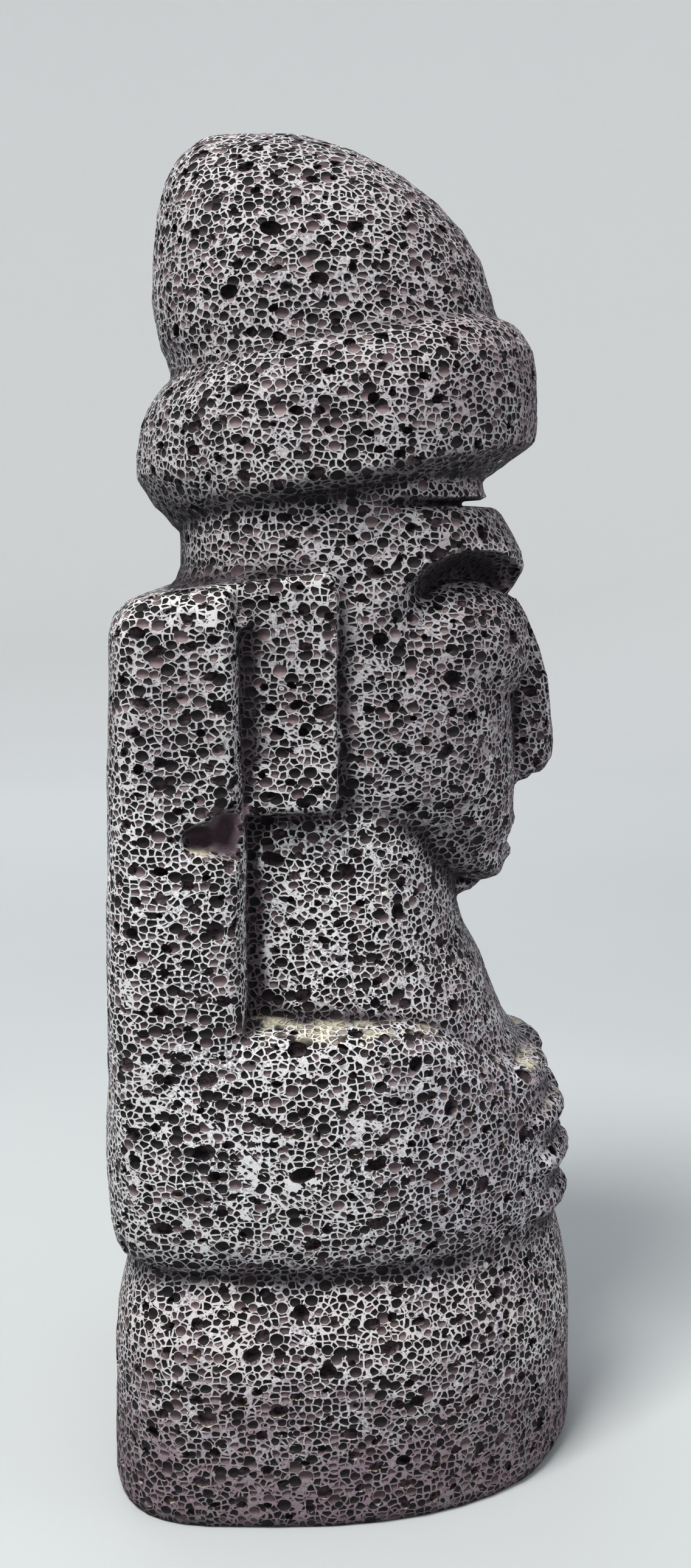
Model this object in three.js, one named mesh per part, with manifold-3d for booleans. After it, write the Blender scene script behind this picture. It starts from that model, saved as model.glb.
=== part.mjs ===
// A dol hareubang, a stone guardian figure, carved from one lump of porous basalt.
// Millimetres, +Z up. The figure looks along -Y, its right side is at -X, and it stands on the XY plane.
import * as THREE from 'three';
import { mergeVertices } from 'three/addons/utils/BufferGeometryUtils.js';
import Module from 'manifold-3d';

// Heights of the stages, one on top of another
const robeHeight = 47; // lower robe, up to the underside of the sleeves
const sleeveHeight = 42; // forearms and hands, up to the ledge along the sleeves
const neckHeight = 18.5; // ledge to chin
const faceHeight = 73.5; // chin to the top of the brow
const hatGap = 5; // brow to the lower edge of the brim, at the middle of the head
const brimHeight = 24.4;
const crownHeight = 39.6;

// Robe block: a footprint with a round front and a square back
const robeWidth = 105.8;
const robeDepth = 89.6;
const robeShare = 0.53; // share of the depth that lies in front of the axis
const robeMiddle = 10; // depth behind the axis at which the robe is widest
const robeFold = 32.5; // height of the soft swelling below the undercut
const undercut = 6.5; // how far the robe steps in below the sleeves
const wornFoot = 0.9; // the worn lower edge
const roundPower = 2.25; // a front as round as an oval, or a little squarer
const squarePower = 4; // a back with rounded corners

// Upper arms and back, one squared slab behind the head
const slabWidth = 101;
const slabFront = -14; // its front face, behind the axis, so negative
const slabBack = 41.7;
const shoulderDrop = 14.4; // brow top down to the shoulders
const shoulderRound = 6.5;
const shoulderFall = 0.12; // slope of the shoulders down towards the back
const slabPower = 9; // nearly sharp front edges

// Forearms round the belly
const sleeveWidth = 102;
const bellyFront = 44.9;
const ledgeFall = 0.28; // share of the sleeve height that its top edge falls towards the hands
const fallStart = 12; // the fall starts this far in front of the axis and ends here
const fallEnd = 38;
const bandMiddle = 10;
const bandPower = 2.2;

// Hands
const fingerCount = 4;
const fingerPitch = 8.2;
const fingerHalfHeight = 3.8;
const fingerProud = 3.1; // how far a finger stands out of the belly
const fingerLength = 24;
const rightHandTop = 26.8; // middle of the highest finger, above the underside of the sleeves
const leftHandTop = 26;
const handGap = 1.5; // fingertips to the middle line

// Neck, face and ears
const neckWidth = 78.6;
const throatFront = 24;
const neckBack = 28;
const neckMiddle = 5;
const chinSwell = 3.2; // half height of the soft swell under the chin
const faceWidth = 79;
const faceFront = 35.2;
const headBack = 29;
const headMiddle = 3;
const headPower = 2.6;
const jawRise = 0.52; // slope of the jaw line up towards the ears
const jawReach = 20; // length of that slope
const jawInset = 14; // how much narrower than the face the chin is, on each side
const earWidth = 85.2; // over both ears
const earLength = 16; // from front to back
const earHeight = 42.5;
const earTopDrop = 11.2; // brow top down to the top of the ears
const earGroove = 3.5; // depth of the cut in front of the ear
const browHeight = 19;
const browLip = 11; // brow top down to its foremost edge
const browFront = 36.3;
const browWidth = 76;
const slotHeight = 1.3; // cut between the brow and the hat
const slotFront = 24;
const bandProud = 5.4; // how far the band under the hat stands in front of the slot

const eyeSpacing = 40; // between the middles of the eyes
const eyeWidth = 37;
const eyeHeight = 25.6;
const eyeFront = 37;
const eyeTurn = 35; // degrees that an eye is turned towards the side of the head
const eyeBulge = 11;
const socketDepth = 9;
const eyeDrop = 25.8; // brow top down to the middle of the eyes
const noseHeight = 33; // from under the brow to the underside of the nose
const noseFront = 43.4;
const noseWidth = 23;
const noseBridge = 9; // width at the top
const noseRoot = 22; // the nose is let into the face as far as this in front of the axis
const mouthWidth = 30;
const mouthDrop = 63.4; // brow top down to the mouth
const lipProud = 0.5;

// Hat
const hatSlope = 0.186; // rise of the brim towards the front, per millimetre
const brimWidth = 86;
const brimDepth = 76.8;
const brimUnder = 12; // depth of the sloping underside
const underSlope = 0.5;
const crownWidth = 71;
const crownFront = 30.6;
const crownBack = 34.4;
const crownPeak = 13.6; // the highest point is this far behind the axis
const crownTuck = 5.8; // how far the crown's back steps in just above the brim

// Broken hollow in the right upper arm, level with the lower end of the ear
const hollowDepth = 8.5;
const hollowLength = 13;
const hollowHeight = 10.4;

const roundSides = 44; // points around a main section
const smallSides = 8; // points around a finger

// Levels worked out from the heights
const robeTop = robeHeight;
const sleeveTop = robeTop + sleeveHeight;
const chin = sleeveTop + neckHeight;
const browTop = chin + faceHeight;
const brimBottom = browTop + hatGap;
const brimTop = brimBottom + brimHeight;
const crownTop = brimTop + crownHeight;
const shoulderTop = browTop - shoulderDrop;
const earTop = browTop - earTopDrop;
const eyeLevel = browTop - eyeDrop;
const mouthLevel = browTop - mouthDrop;
const noseBottom = browTop - browHeight - noseHeight;

const wasm = await Module();
wasm.setup();

const mix = (a, b, t) => a + (b - a) * t;
const clamp = (t) => Math.min(1, Math.max(0, t));
const smooth = (t) => clamp(t) ** 2 * (3 - 2 * clamp(t));
const dome = (t, power) => (1 - clamp(t) ** power) ** (1 / power);

// A level of a form, as [height, half width, front, back], read at any height between the given ones
function levelAt(levels, z) {
  const last = levels.length - 1;
  const i = Math.min(last - 1, Math.max(0, levels.findIndex((row) => row[0] > z) - 1));
  const at = z >= levels[last][0] ? last - 1 : i;
  const t = clamp((z - levels[at][0]) / (levels[at + 1][0] - levels[at][0]));
  return levels[at].map((value, k) => mix(value, levels[at + 1][k], t));
}

// One horizontal ring: rounded in front by one power and behind by another, widest at the depth `middle`
function ring([z, half, front, back], middle, frontPower, backPower, sides = roundSides) {
  const points = [];
  for (let i = 0; i < sides; i++) {
    const angle = (2 * Math.PI * i) / sides;
    const [c, s] = [Math.cos(angle), Math.sin(angle)];
    const power = s < 0 ? frontPower : backPower;
    const reach = s < 0 ? middle + front : back - middle;
    const x = half * Math.sign(c) * Math.abs(c) ** (2 / power);
    const y = middle + reach * Math.sign(s) * Math.abs(s) ** (2 / power);
    points.push(new THREE.Vector3(x, y, z));
  }
  return points;
}

// A closed body through rings of equal count, with a fan over each end
function loft(rings) {
  const count = rings[0].length;
  const centre = (points) => points.reduce((sum, p) => sum.add(p), new THREE.Vector3()).divideScalar(count);
  const points = [...rings.flat(), centre(rings[0]), centre(rings[rings.length - 1])];
  const [first, last] = [points.length - 2, points.length - 1];
  const top = (rings.length - 1) * count;
  const index = [];
  for (let i = 0; i < count; i++) {
    const next = (i + 1) % count;
    for (let k = 0; k < rings.length - 1; k++) {
      const [a, b, c, d] = [k * count + i, k * count + next, (k + 1) * count + next, (k + 1) * count + i];
      index.push(a, b, c, a, c, d);
    }
    index.push(first, next, i, last, top + i, top + next);
  }
  const geometry = new THREE.BufferGeometry().setFromPoints(points);
  geometry.setIndex(index);
  return solid(geometry);
}

// A closed three.js geometry as a solid, turned right side out if a mirror or a loft left it inside out
function solid(geometry) {
  for (const name of Object.keys(geometry.attributes)) {
    if (name !== 'position') {
      geometry.deleteAttribute(name);
    }
  }
  const merged = mergeVertices(geometry, 1e-4);
  const vertProperties = new Float32Array(merged.attributes.position.array);
  let triVerts = new Uint32Array(merged.index.array);
  const corners = [new THREE.Vector3(), new THREE.Vector3(), new THREE.Vector3()];
  let volume = 0;
  for (let i = 0; i < triVerts.length; i += 3) {
    corners.forEach((corner, k) => corner.fromArray(vertProperties, 3 * triVerts[i + k]));
    volume += corners[0].dot(corners[1].clone().cross(corners[2]));
  }
  if (volume < 0) {
    triVerts = triVerts.reverse();
  }
  return new wasm.Manifold(new wasm.Mesh({ numProp: 3, vertProperties, triVerts }));
}

// An ellipsoid, tilted about X and then turned about Z
function ellipsoid([x, y, z], [rx, ry, rz], sides, tilt = 0, turn = 0) {
  const geometry = new THREE.SphereGeometry(1, 2 * sides, sides);
  geometry.rotateX(Math.PI / 2);
  geometry.scale(rx, ry, rz);
  geometry.rotateX(tilt);
  geometry.rotateZ(turn);
  geometry.translate(x, y, z);
  return solid(geometry);
}

// Lower robe: nearly upright, a soft swelling, then the undercut below the sleeves
const robeInset = [
  [0, wornFoot],
  [2.5, 0],
  [robeFold * 0.55, 0.4],
  [robeFold * 0.85, 0.6],
  [robeFold, 1.6],
  [mix(robeFold, robeTop, 0.4), undercut * 0.62],
  [mix(robeFold, robeTop, 0.75), undercut * 0.94],
  [robeTop + 6, undercut],
];

function robe() {
  const front = robeShare * robeDepth;
  const back = robeDepth - front;
  const rings = robeInset.map(([z, inset]) =>
    ring(
      [z, robeWidth / 2 - inset, front - 0.6 * inset, back - 0.5 * inset],
      robeMiddle,
      roundPower,
      squarePower,
    ),
  );
  return loft(rings);
}

// Squared slab of the back and the upper arms, rounded over at the shoulders and ending in the sleeves
function slab() {
  const half = slabWidth / 2;
  const middle = (slabBack - slabFront) / 2;
  const rows = [
    [robeTop + 12, 1.6, 0.8],
    [sleeveTop - 8, 0.5, 0],
    [mix(sleeveTop, shoulderTop, 0.1), 0, 0.2],
    [mix(sleeveTop, shoulderTop, 0.6), 0, 0.7],
    [shoulderTop - shoulderRound, 0.4, 1.5],
  ];
  for (const turn of [30, 60, 90]) {
    const angle = THREE.MathUtils.degToRad(turn);
    const inset = shoulderRound * (1 - Math.cos(angle));
    rows.push([shoulderTop - shoulderRound * (1 - Math.sin(angle)), 0.4 + inset, 1.5 + 1.25 * inset]);
  }
  const frontLean = 2 / (shoulderTop - robeTop);
  const rings = rows.map(([z, inset, backInset]) => {
    const level = [z, half - inset, slabFront - frontLean * (z - robeTop), slabBack - backInset];
    const points = ring(level, middle, slabPower, squarePower + 0.5);
    const share = smooth((z - sleeveTop) / (shoulderTop - sleeveTop));
    for (const p of points) {
      p.z -= share * shoulderFall * (p.y - middle);
    }
    return points;
  });
  return loft(rings);
}

// Hollow slope from the shoulders up to the head
function collar() {
  const rows = [
    [-6, 7.5, 7.5],
    [-1.5, 4.2, 3.2],
    [1, 2, 1],
    [4, 0.4, -0.2],
    [9, -2, -1.8],
  ];
  const hidden = faceWidth / 2 - 3;
  const rings = rows.map(([rise, wide, deep]) => {
    const level = [shoulderTop + rise, faceWidth / 2 + wide, 10, headBack + deep];
    const points = ring(level, headMiddle, headPower, headPower);
    // in front of the slab it stays inside the head
    for (const p of points) {
      const share = smooth((p.y + slabFront + 6) / 8);
      p.x = mix(Math.sign(p.x) * Math.min(Math.abs(p.x), hidden), p.x, share);
    }
    return points;
  });
  return loft(rings);
}

// Forearms and belly as one band, whose top edge falls towards the hands
const bandLevels = [
  [robeTop - 1.5, sleeveWidth / 2 - 4.2, bellyFront - 2.2, slabBack - 2.2],
  [robeTop + 0.5, sleeveWidth / 2 - 2.2, bellyFront - 1.4, slabBack - 0.4],
  [robeTop + 5, sleeveWidth / 2 - 0.9, bellyFront - 0.1, slabBack + 0.4],
  [robeTop + sleeveHeight * 0.36, sleeveWidth / 2, bellyFront - 0.5, slabBack + 0.9],
  [robeTop + sleeveHeight * 0.58, sleeveWidth / 2, bellyFront - 1.3, slabBack + 0.7],
  [robeTop + sleeveHeight * 0.76, sleeveWidth / 2 - 0.5, bellyFront - 2.6, slabBack + 0.3],
  [robeTop + sleeveHeight * 0.91, sleeveWidth / 2 - 1.6, bellyFront - 5.2, slabBack - 0.3],
  [robeTop + sleeveHeight * 0.98, sleeveWidth / 2 - 3.6, bellyFront - 7.8, slabBack - 1.5],
  [robeTop + sleeveHeight * 1.04, neckWidth / 2 + 0.5, bellyFront - 14, slabBack - 4],
];
const bandFall = (y) => ledgeFall * smooth((-y - fallStart) / (fallEnd - fallStart));

function band() {
  const rings = bandLevels.map((level) => {
    const points = ring(level, bandMiddle, bandPower, squarePower + 1);
    // behind the slab's front its upper levels stay as wide as the slab, so that the two run together
    const widen = level[0] > sleeveTop - 12 ? Math.max(1, (slabWidth / 2 - 0.2) / level[1]) : 1;
    for (const p of points) {
      p.x *= mix(1, widen, smooth((p.y + slabFront + 5) / 6));
      p.z = robeTop + (p.z - robeTop) * (1 - bandFall(p.y));
    }
    return points;
  });
  return loft(rings);
}

// Depth of the belly's surface at a place across it and a real height
function bellyDepth(x, z) {
  const level = robeTop + (z - robeTop) / (1 - ledgeFall);
  const [, half, front] = levelAt(bandLevels, level);
  return bandMiddle - (bandMiddle + front) * dome(Math.abs(x) / half, bandPower);
}

// One finger: a ridge along the belly from the knuckles to the tip, rounded at both ends
function finger(side, z, tip, length, halfHeight) {
  const steps = 5;
  const rings = [];
  for (let i = 0; i <= steps; i++) {
    const t = (1 - Math.cos((Math.PI * i) / steps)) / 2;
    const swell = dome(Math.abs(2 * t - 1), 4) * mix(1, 0.6, t) + 0.02;
    const x = tip + length * t;
    const y = bellyDepth(x, z);
    const slope = bellyDepth(x + 1, z) - y;
    const across = new THREE.Vector3(slope, -1, 0).normalize();
    const points = [];
    for (let k = 0; k < smallSides; k++) {
      const angle = (2 * Math.PI * k) / smallSides;
      const out = fingerProud * swell * (1.5 * Math.cos(angle) - 0.5 * swell);
      const p = new THREE.Vector3(side * x, y, z + halfHeight * swell * Math.sin(angle));
      points.push(p.add(new THREE.Vector3(side * across.x * out, across.y * out, 0)));
    }
    rings.push(points);
  }
  return loft(rings);
}

function hand(side, top) {
  const parts = [];
  for (let i = 0; i < fingerCount; i++) {
    const short = 2.2 * Math.abs(i - 1.3);
    const z = robeTop + top - i * fingerPitch;
    parts.push(finger(side, z, handGap + short, fingerLength - 0.6 * short, fingerHalfHeight));
  }
  return parts;
}

// Neck and chest, in front of the slab
function neck() {
  const levels = [
    [robeTop + 8, -2, 6],
    [mix(robeTop, sleeveTop, 0.72), 1, 12.4],
    [mix(robeTop, sleeveTop, 0.8), 2, 10],
    [mix(robeTop, sleeveTop, 0.92), 1.6, 7.9],
    [sleeveTop + neckHeight * 0.22, 1, 5.2],
    [sleeveTop + neckHeight * 0.55, 0.4, 1.7],
    [sleeveTop + neckHeight * 0.88, 0, 0],
    [chin + 10, -0.8, -1],
    [chin + 22, -2.6, -2],
    [chin + 36, -6, -4],
  ];
  const rings = levels.map(([z, wide, front]) =>
    ring([z, neckWidth / 2 + wide, throatFront + front, neckBack], neckMiddle, headPower, headPower + 0.4),
  );
  return loft(rings);
}

// Soft swell from the throat to the tip of the chin
function underChin() {
  const reach = 11;
  return ellipsoid([0, reach + 5.6 - faceFront, chin + 1.5], [reach * 1.3, reach, chinSwell], 6);
}

// Head without its features: the jaw line rises towards the ears, and a slot parts the brow from the hat
function head() {
  const half = faceWidth / 2;
  const slot = browTop + slotHeight;
  // height, half width, front, back, and how square the cheeks are
  const levels = [
    [chin - 1, half - jawInset, faceFront - 5.6, neckBack, 0],
    [chin + 2.2, half - jawInset * 0.75, faceFront - 2.2, neckBack, 0],
    [chin + faceHeight * 0.1, half - jawInset * 0.57, faceFront - 1.6, neckBack, 0],
    [chin + faceHeight * 0.19, half - jawInset * 0.38, faceFront - 0.2, neckBack, 0.2],
    [chin + faceHeight * 0.3, half - jawInset * 0.2, faceFront - 0.3, neckBack, 0.4],
    [chin + faceHeight * 0.45, half - 0.8, faceFront - 1.4, neckBack, 0.7],
    [chin + faceHeight * 0.62, half, faceFront - 2, neckBack, 0.6],
    [chin + faceHeight * 0.8, half, faceFront - 3.4, headBack, 0.1],
    [chin + faceHeight * 0.92, half - 0.6, slotFront + 1.2, headBack, 0],
    [browTop, half - 1.2, slotFront, headBack, 0],
    [slot, half - 1.4, slotFront, headBack, 0],
    [slot + 0.4, half - 1.4, slotFront + bandProud, headBack, 0],
    [slot + 2, half - 1.4, slotFront + bandProud - 1, headBack, 0],
    [slot + 12, half - 1.6, slotFront + bandProud - 1.5, headBack - 0.5, 0],
  ];
  const rings = levels.map((level) => {
    const points = ring(level, headMiddle, headPower + level[4], headPower);
    const share = 1 - clamp((level[0] - chin) / (faceHeight * 0.3));
    for (const p of points) {
      p.z += share * jawRise * Math.min(jawReach, p.y + faceFront);
    }
    return points;
  });
  return loft(rings);
}

// Brow: an overhanging block round the forehead, foremost at a lip above the eyes
function brow() {
  const lip = browTop - browLip;
  const half = browWidth / 2;
  const levels = [
    [browTop - browHeight, half - 1.6, browFront - 5],
    [mix(browTop - browHeight, lip, 0.55), half - 0.3, browFront - 2],
    [lip, half, browFront],
    [mix(lip, browTop, 0.25), half, browFront - 0.6],
    [mix(lip, browTop, 0.6), half, browFront - 2.5],
    [mix(lip, browTop, 0.92), half - 0.4, browFront - 4.6],
    [browTop, half - 1.8, browFront - 6],
  ];
  return loft(levels.map(([z, wide, front]) => ring([z, wide, front, 8], -2, headPower, headPower, 36)));
}

function nose() {
  const top = browTop - browHeight + 2;
  const bottom = noseBottom;
  const levels = [
    [bottom - 0.3, noseWidth / 2 - 1.4, noseFront - 1.8],
    [bottom + 2.2, noseWidth / 2, noseFront - 0.3],
    [bottom + noseHeight * 0.2, noseWidth / 2 - 0.8, noseFront],
    [bottom + noseHeight * 0.38, mix(noseWidth, noseBridge, 0.45) / 2, noseFront - 0.5],
    [bottom + noseHeight * 0.6, mix(noseWidth, noseBridge, 0.85) / 2, noseFront - 1.3],
    [bottom + noseHeight * 0.75, noseBridge / 2, noseFront - 2.9],
    [bottom + noseHeight * 0.93, noseBridge / 2, noseFront - 5.6],
    [top, noseBridge / 2, noseFront - 8],
  ];
  const rings = levels.map((level, i) => {
    const points = ring([...level, -noseRoot], -noseRoot - 6, roundPower, roundPower, 20);
    const share = i < 2 ? 1 : 0;
    for (const p of points) {
      p.z += share * (1.6 - 1.6 * clamp((p.y + noseFront) / 9));
    }
    return points;
  });
  return loft(rings);
}

// An ear is a long squared slab, rounded at its corners
function ear(side) {
  const [back, front] = [-slabFront + 3, -slabFront + 1 - earLength];
  const bottom = earTop - earHeight;
  const round = 3;
  const outline = new THREE.Shape();
  outline.moveTo(back, bottom);
  outline.lineTo(back, earTop - 2);
  outline.lineTo(front + round, earTop);
  outline.quadraticCurveTo(front, earTop, front, earTop - 2 * round);
  outline.lineTo(front, bottom + round);
  outline.quadraticCurveTo(front, bottom, front + round, bottom);
  outline.lineTo(back, bottom);
  const bevel = 1.2;
  const inside = faceWidth / 2 - 9;
  const geometry = new THREE.ExtrudeGeometry(outline, {
    depth: earWidth / 2 - inside - bevel,
    steps: 1,
    curveSegments: 4,
    bevelSegments: 2,
    bevelThickness: bevel,
    bevelSize: bevel,
    bevelOffset: -bevel,
  });
  // the outline's axes are Y and Z, and the extrusion runs outwards along X
  const axes = new THREE.Matrix4().set(0, 0, side, side * inside, 1, 0, 0, 0, 0, 1, 0, 0, 0, 0, 0, 1);
  geometry.applyMatrix4(axes);
  return solid(geometry);
}

// V-shaped cut between the ear and the cheek
function earCut(side) {
  const y = -slabFront + 1 - earLength;
  const outside = earWidth / 2 + 2;
  const inside = faceWidth / 2 - earGroove;
  const halfWide = 1.9;
  const wedge = (z, share) => [
    new THREE.Vector3(side * (outside - share), y - halfWide, z),
    new THREE.Vector3(side * (outside - share), y + 0.4, z),
    new THREE.Vector3(side * (inside + share), y - 0.1, z),
    new THREE.Vector3(side * (inside + share), y - 0.5, z),
  ];
  const [bottom, top] = [earTop - earHeight - 1, earTop - 5];
  return loft([wedge(bottom, 0), wedge(top, 0), wedge(top + 4, earGroove * 0.9)]);
}

// A bulging oval eye, turned with the curve of the face
function eye(side) {
  const turn = THREE.MathUtils.degToRad(eyeTurn);
  const reach = Math.hypot((eyeWidth / 2) * Math.sin(turn), eyeBulge * Math.cos(turn));
  const centre = [side * (eyeSpacing / 2), reach - eyeFront, eyeLevel];
  return ellipsoid(centre, [eyeWidth / 2, eyeBulge, eyeHeight / 2], 10, 0, side * turn);
}

// Hollow round the upper and outer side of the eye, which makes the brow overhang
function socket(side) {
  const turn = THREE.MathUtils.degToRad(eyeTurn);
  const centre = [side * (eyeSpacing / 2 + 8), 9.6 - faceFront, eyeLevel + 6];
  return ellipsoid(centre, [eyeWidth * 0.62, socketDepth, eyeHeight * 0.48], 9, 0, side * turn);
}

function lips() {
  const reach = 7;
  return [
    ellipsoid([0, reach - faceFront - lipProud, mouthLevel + 3.2], [mouthWidth / 2, reach, 3], 7),
    ellipsoid([0, reach - faceFront + lipProud * 0.4, mouthLevel - 3], [mouthWidth * 0.42, reach, 2.8], 7),
  ];
}

function mouthCut() {
  return ellipsoid([0, -faceFront - lipProud, mouthLevel], [mouthWidth * 0.55, 3.6, 1.1], 8);
}

const nostril = (side) =>
  ellipsoid([side * noseWidth * 0.24, 4.5 - noseFront, noseBottom - 0.6], [2.7, 2.5, 3], 5);

// Thick rolled brim: its front stands higher than its back, and its lower back edge is worn round
function brim() {
  const rows = [
    [-underSlope * brimUnder, brimUnder],
    [-underSlope * brimUnder * 0.5, brimUnder * 0.5],
    [0, 0.5],
    [brimHeight * 0.06, 0.1],
    [brimHeight * 0.3, -0.1],
    [brimHeight * 0.5, 0.2],
    [brimHeight * 0.72, 1.1],
    [brimHeight * 0.86, 2.6],
    [brimHeight * 0.95, 5],
    [brimHeight, 9],
  ];
  const backWear = 4.8;
  const rings = rows.map(([rise, inset]) => {
    const wear = backWear * (1 - clamp(rise / (brimHeight * 0.4))) ** 2 * clamp(1 - inset / 8);
    const [half, reach] = [brimWidth / 2 - inset, brimDepth / 2 - inset];
    const points = ring([brimBottom + rise, half, reach + 0.2, reach - 0.7], 0, roundPower, roundPower);
    for (const p of points) {
      const behind = smooth(p.y / (brimDepth / 2));
      p.y -= wear * behind;
      p.z -= hatSlope * p.y;
    }
    return points;
  });
  return loft(rings);
}

// Crown: upright behind, a long slope in front, highest behind the middle
function crown() {
  const rings = [];
  const steps = 9;
  for (let i = 0; i < steps; i++) {
    const u = Math.sin((Math.PI / 2) * (i / (steps - 0.45)));
    const tuck = crownTuck * (1 - clamp(u / 0.4)) ** 2;
    const level = [
      0,
      (crownWidth / 2) * dome(u, 2.5),
      (crownFront + crownPeak) * dome(u, 2) - crownPeak,
      crownPeak + (crownBack - crownPeak) * dome(u, 3.8) - tuck,
    ];
    const points = ring(level, mix(2, crownPeak, u ** 2), roundPower, roundPower + 0.2);
    for (const p of points) {
      const foot = brimTop - 2.5 - hatSlope * p.y;
      p.z = mix(foot, crownTop, u);
    }
    rings.push(points);
  }
  return loft(rings);
}

// The broken hollow: a wide end at the slab's front edge, running to a point behind
function hollow() {
  const x = -slabWidth / 2 - 0.5;
  const front = -slabFront;
  const z = earTop - earHeight - 2.4;
  const wide = [hollowDepth, hollowLength * 0.42, hollowHeight / 2];
  const tapered = [hollowDepth * 0.7, hollowLength * 0.38, hollowHeight * 0.3];
  return [
    ellipsoid([x, front + hollowLength * 0.22, z], wide, 7, -0.12),
    ellipsoid([x, front + hollowLength * 0.6, z - 0.6], tapered, 6),
  ];
}

function carve() {
  const sides = [-1, 1];
  let stone = robe();
  const forms = [slab(), collar(), band(), neck(), underChin(), head(), brow()];
  for (const form of forms) {
    stone = stone.add(form);
  }
  for (const side of sides) {
    stone = stone.subtract(socket(side)).add(eye(side)).add(ear(side)).subtract(earCut(side));
  }
  const features = [nose(), ...lips(), brim(), crown(), ...hand(-1, rightHandTop), ...hand(1, leftHandTop)];
  for (const feature of features) {
    stone = stone.add(feature);
  }
  for (const cut of [mouthCut(), nostril(-1), nostril(1), ...hollow()]) {
    stone = stone.subtract(cut);
  }
  return stone;
}

// The finished stone, set down with the middle of its box over the origin
function statueGeometry() {
  const mesh = carve().getMesh();
  const geometry = new THREE.BufferGeometry();
  geometry.setAttribute('position', new THREE.BufferAttribute(new Float32Array(mesh.vertProperties), 3));
  geometry.setIndex(new THREE.BufferAttribute(new Uint32Array(mesh.triVerts), 1));
  geometry.computeBoundingBox();
  const middle = geometry.boundingBox.getCenter(new THREE.Vector3());
  geometry.translate(-middle.x, -middle.y, 0);
  geometry.computeVertexNormals();
  return geometry;
}

const basalt = new THREE.MeshStandardMaterial({ color: 0x6f6870, roughness: 0.95, metalness: 0 });

const group = new THREE.Group();
const statue = new THREE.Mesh(statueGeometry(), basalt);
statue.name = 'statue';
group.add(statue);

export default group;
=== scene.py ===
"""A stone guardian with a brimmed hat, carved from one block of pitted basalt.

The block has its carved form from the frame. Here it gets the softened edges of weathered stone, the
thousands of gas holes that open on every face of it, and the colours of the worn rock.
Lengths are in metres, and MM turns the sizes of the stone, which are in millimetres.
"""

import math

import bmesh
import bpy
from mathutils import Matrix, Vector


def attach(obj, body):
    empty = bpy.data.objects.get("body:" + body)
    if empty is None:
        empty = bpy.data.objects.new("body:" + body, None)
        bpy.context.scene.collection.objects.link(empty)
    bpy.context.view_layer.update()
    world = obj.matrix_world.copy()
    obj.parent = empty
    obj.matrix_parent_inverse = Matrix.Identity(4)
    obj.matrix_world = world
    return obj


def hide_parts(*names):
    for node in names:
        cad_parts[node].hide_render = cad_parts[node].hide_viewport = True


MM = 0.001

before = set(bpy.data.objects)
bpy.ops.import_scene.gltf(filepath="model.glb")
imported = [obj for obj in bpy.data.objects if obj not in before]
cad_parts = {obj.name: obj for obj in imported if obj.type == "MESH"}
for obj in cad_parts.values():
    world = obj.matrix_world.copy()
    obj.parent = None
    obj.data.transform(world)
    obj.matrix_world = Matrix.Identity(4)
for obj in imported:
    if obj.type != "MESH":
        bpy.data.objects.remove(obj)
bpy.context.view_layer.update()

# the worn block: the grain it is rebuilt at, how far its edges are worn, how far its form is evened out
# to find what stands proud of it, and the faces it keeps
GRAIN = 0.6 * MM
WEAR_STEPS = 4
EVENING_STEPS = 150
BLOCK_FACES = 25000

# the cut holes: the seed they are drawn from, how many are tried on a square metre before their spacing
# thins them, how high they start, the depth of groove that they stay out of, and the sharpest edge that
# is still shaded round
SEED = 7
CROWDED = 200000.0
GROUND_RIM = 1.5 * MM
GROOVE = -0.35 * MM
ROUND_EDGE = math.radians(46)

# kinds of node that are used again and again
MATH = "ShaderNodeMath"
VECTOR = "ShaderNodeVectorMath"
STEP = "ShaderNodeMapRange"
MIX = "ShaderNodeMix"
NOISE = "ShaderNodeTexNoise"
CELLS = "ShaderNodeTexVoronoi"
KEEP = "GeometryNodeStoreNamedAttribute"
KEPT = "GeometryNodeInputNamedAttribute"
DRAW = "FunctionNodeRandomValue"
SOFT = {"interpolation_type": "SMOOTHSTEP"}
COLOURS = {"data_type": "RGBA"}

# where worn forms run into each other: the tilted plane of the brim's top, and the hollow under an eye
BRIM_TOP = 210.4 * MM
BRIM_RISE = 0.186
CHEEK_MIDDLE = (34 * MM, -12 * MM, 157 * MM)

# the broken hollow in the right arm, in millimetres: its middle and its half sizes
BREAK_MIDDLE = (-48.0, 20.5, 125.5)
BREAK_REACH = (9.0, 8.0, 6.5)

# the finer pores, in millimetres: the spacing of each kind, the wall between the middle kind and how
# it flares, how far they are from lying in rows, how deep they look, and the spacing of the crystals
LARGE_PORE = 2.6
PORE = 1.5
PIT = 0.78
PORE_WALL = 0.22
WALL_FLARE = 0.2
PORE_DISORDER = 0.8
PORE_DEPTH = 0.9 * MM
CRYSTAL_SPACING = 9

# scuffs on the arms: how steeply they run, and their size in millimetres, across the figure, along their
# run and over it
SCUFF_SLOPE = math.radians(42)
SCUFF_SIZE = (14.0, 26.0, 3.2)

# heights in millimetres over which a tint comes in, and those over which it goes out again
SLEEVES = ((42.0, 56.0), (98.0, 86.0))
ARMS = ((44.0, 60.0), (128.0, 84.0))
PALE_BAND = ((24.0, 32.0), (46.0, 38.0))
LOWER_ROBE = (62.0, 10.0)
FOOT = (28.0, 6.0)
HEAD = (118.0, 150.0)
HEAD_DUSTLESS = (142.0, 128.0)

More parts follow.
